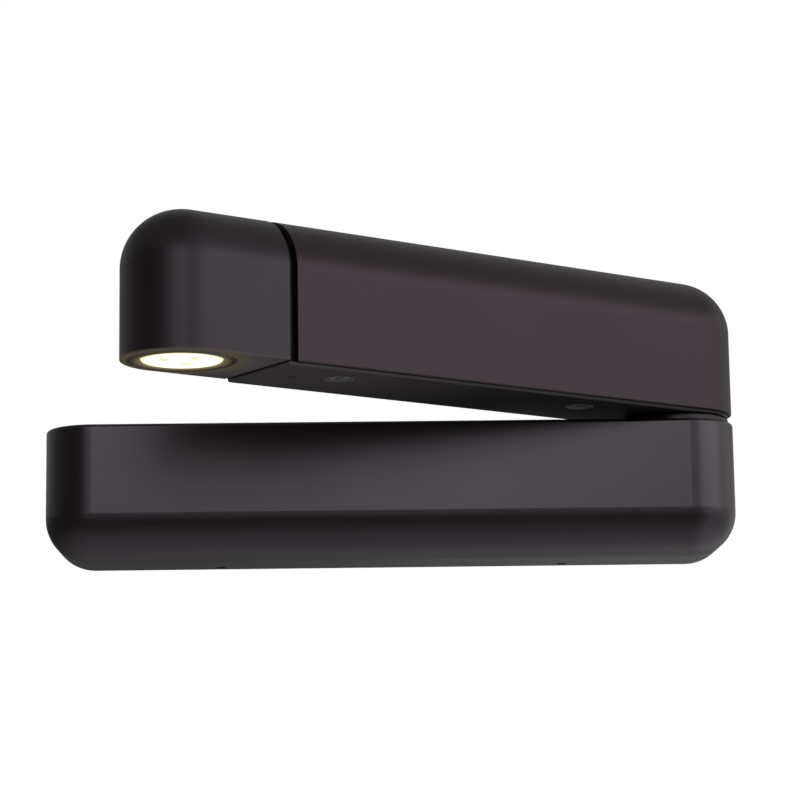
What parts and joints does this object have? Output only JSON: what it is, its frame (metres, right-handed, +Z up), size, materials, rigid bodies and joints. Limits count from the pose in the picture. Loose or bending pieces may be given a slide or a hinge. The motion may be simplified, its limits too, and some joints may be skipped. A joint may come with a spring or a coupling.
{
  "type": "wall lamp",
  "caption": "Folding wall reading lamp: a long wall body, a swing arm that closes flat over it, and a turning spot head with a recessed round lens.",
  "frame": {"origin": "middle of the two wall screws, on the back face of the wall bracket", "axes": "+X along the wall towards the swing pivot, +Y into the wall, +Z up; the lamp stands out of the wall towards -Y"},
  "size_m": [0.28, 0.1774, 0.1136],
  "materials": {
    "body_paint": "satin gloss dark brown powder coat",
    "arm_paint": "satin dark brown powder coat",
    "trim_paint": "satin dark brown powder coat",
    "black_screws": "blackened steel",
    "steel": "zinc plated",
    "threaded_tube": "zinc plated thread",
    "zinc_sheet": "galvanised sheet",
    "nylon": "natural nylon",
    "rubber": "soft black rubber",
    "silicone": "grey silicone",
    "driver_case": "off-white moulded",
    "connector": "white moulded",
    "brass": "machined",
    "black_plastic": "black moulded",
    "mains_sheath": "grey sheath",
    "lead_sleeve": "black sleeve",
    "magnet": "nickel plated",
    "heat_sink": "machined",
    "board": "white solder mask",
    "emitters": "phosphor",
    "lens": "clear moulded lens, lit"
  },
  "bodies": {
    "wall_body": {"body_shell": "body_paint", "pivot_boss": "trim_paint", "boss_dowels": "steel", "hinge_tube": "threaded_tube", "hinge_lower_washer": "steel", "hinge_lower_nut": "steel", "hinge_thrust_bush": "nylon", "hinge_spring_washer": "steel", "hinge_upper_nut": "steel", "wall_bracket": "zinc_sheet", "cable_grommet": "rubber", "bracket_lock_screws": "black_screws", "led_driver": "driver_case", "driver_screws": "steel", "terminal_block": "connector", "terminal_screws": "brass", "mains_lead": "mains_sheath", "earth_tag": "brass", "earth_screw": "brass", "reed_switch": "black_plastic", "driver_lead": "lead_sleeve"},
    "swing_arm": {"arm_shell": "arm_paint", "arm_cover_plate": "trim_paint", "cover_screws": "black_screws", "hinge_bush": "nylon", "swing_stop_pin": "steel", "switch_magnet": "magnet", "arm_end_cap": "trim_paint", "end_cap_screws": "steel", "swivel_bush": "nylon", "swivel_thrust_washer": "nylon", "arm_lead": "lead_sleeve"},
    "spot_head": {"head_shell": "arm_paint", "swivel_tube": "threaded_tube", "swivel_lock_washer": "steel", "swivel_lock_nut": "steel", "swivel_spring_washer": "steel", "swivel_friction_nut": "steel", "turn_stop_pin": "steel", "bezel_ring": "trim_paint", "lens_seal": "silicone", "lens": "lens", "lens_holder": "black_plastic", "led_emitters": "emitters", "led_board": "board", "heat_sink": "heat_sink", "heat_sink_screws": "steel", "head_lead": "lead_sleeve"}
  },
  "joints": [
    {"name": "arm_swing", "type": "hinge", "parent": "wall_body", "child": "swing_arm", "pos_m": [0.1175, -0.0235, 0.0296], "axis": [0, 0, 1], "range_deg": [-34, 146]},
    {"name": "head_turn", "type": "hinge", "parent": "swing_arm", "child": "spot_head", "pos_m": [-0.05079, -0.13702, 0.0641], "axis": [-0.829, -0.5592, 0], "range_deg": [-165, 165]}
  ]
}
